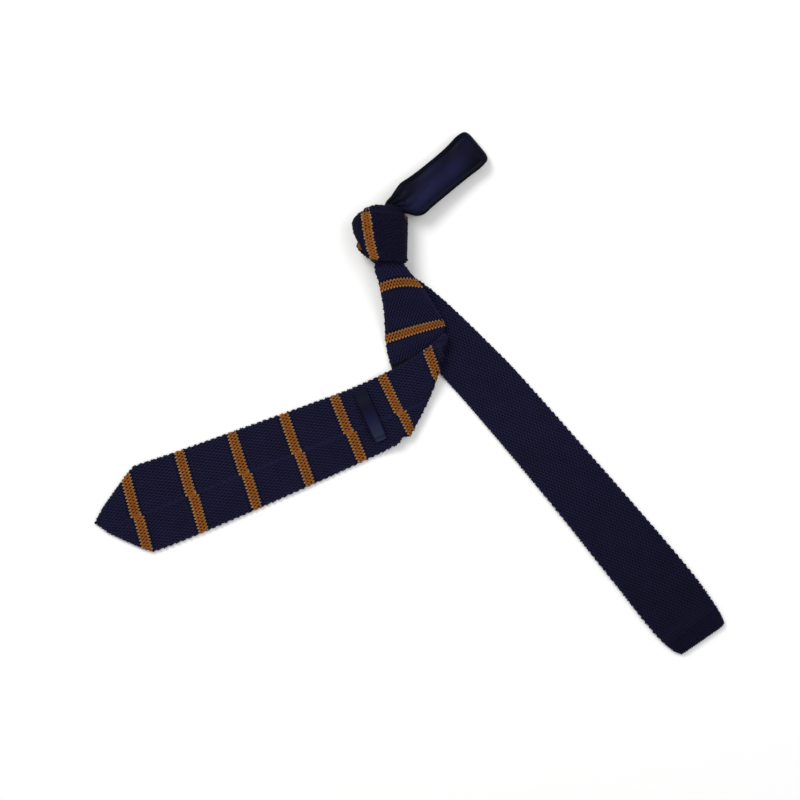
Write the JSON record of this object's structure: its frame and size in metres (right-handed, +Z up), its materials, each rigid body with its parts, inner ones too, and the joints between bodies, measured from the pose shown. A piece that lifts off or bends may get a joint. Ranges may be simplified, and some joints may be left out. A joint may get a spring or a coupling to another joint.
{
  "type": "knitted necktie tied in a knot, with a satin neck band",
  "caption": "Knitted necktie lying flat: pointed striped wide blade folded over, square narrow blade, four-in-hand knot and a satin neck band loop with keeper.",
  "frame": {"origin": "under the middle of the knot, on the surface that the tie lies on", "axes": "+X to the right and +Y towards the neck band as seen from above, +Z up; the wide blade goes to -X, the narrow blade to +X"},
  "size_m": [0.4452, 0.368, 0.0252],
  "materials": {
    "navy_knit": "matte open knit of navy yarn, with narrow mustard stripes",
    "navy_hem": "matte close knit",
    "navy_satin": "woven satin with a soft sheen"
  },
  "bodies": {
    "root": {"wide_blade": "navy_knit", "tail_blade": "navy_knit", "tail_hem": "navy_hem", "knot_wrap": "navy_knit", "knot_core": "navy_knit", "neck_band": "navy_satin", "keeper_loop": "navy_satin"}
  },
  "joints": []
}
